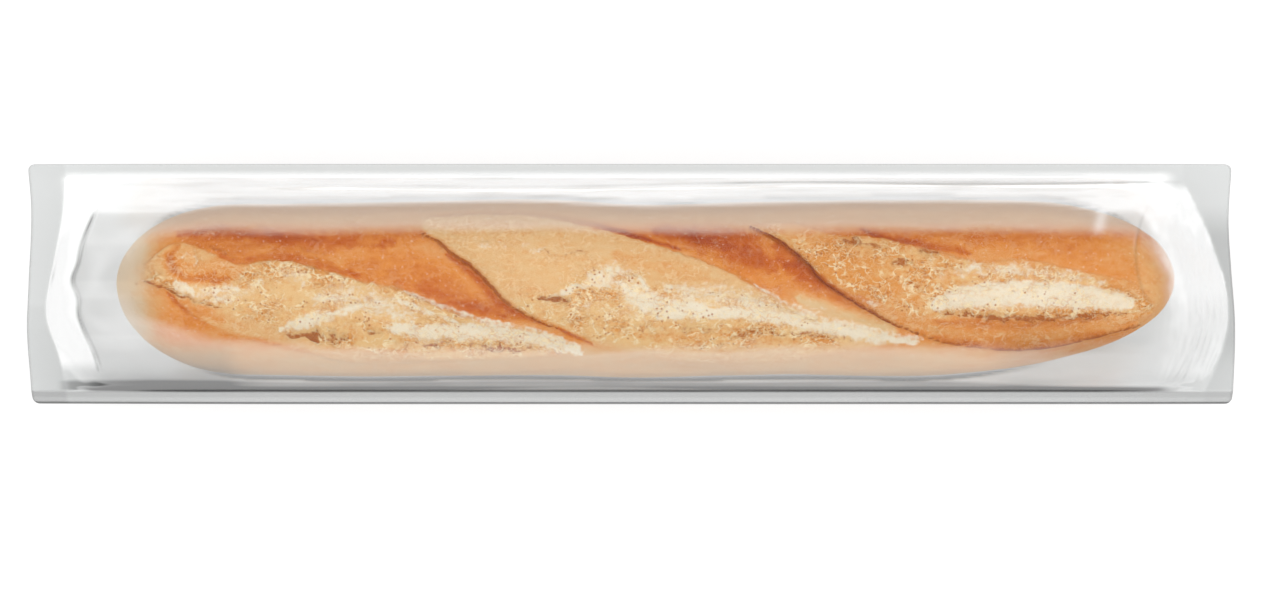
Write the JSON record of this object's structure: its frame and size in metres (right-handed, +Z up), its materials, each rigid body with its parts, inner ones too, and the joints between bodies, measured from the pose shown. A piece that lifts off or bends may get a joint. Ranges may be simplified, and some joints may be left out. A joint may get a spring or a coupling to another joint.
{
  "type": "loaf in bread bag",
  "caption": "Short crusty baguette with slashed top, sealed in a flat clear film bag that is welded along its sides and ends, lying on its back.",
  "frame": {"origin": "on the surface that the pack lies on, under the middle of its outline", "axes": "+X along the loaf, +Z up through the slashed top, +Y across the pack"},
  "size_m": [0.342, 0.069, 0.0404],
  "materials": {
    "bag_film": "thin clear glossy film with faint wrinkles",
    "crust": "baked golden brown crust, matt with a faint sheen"
  },
  "bodies": {
    "root": {"bread_bag": "bag_film"}
  },
  "joints": []
}
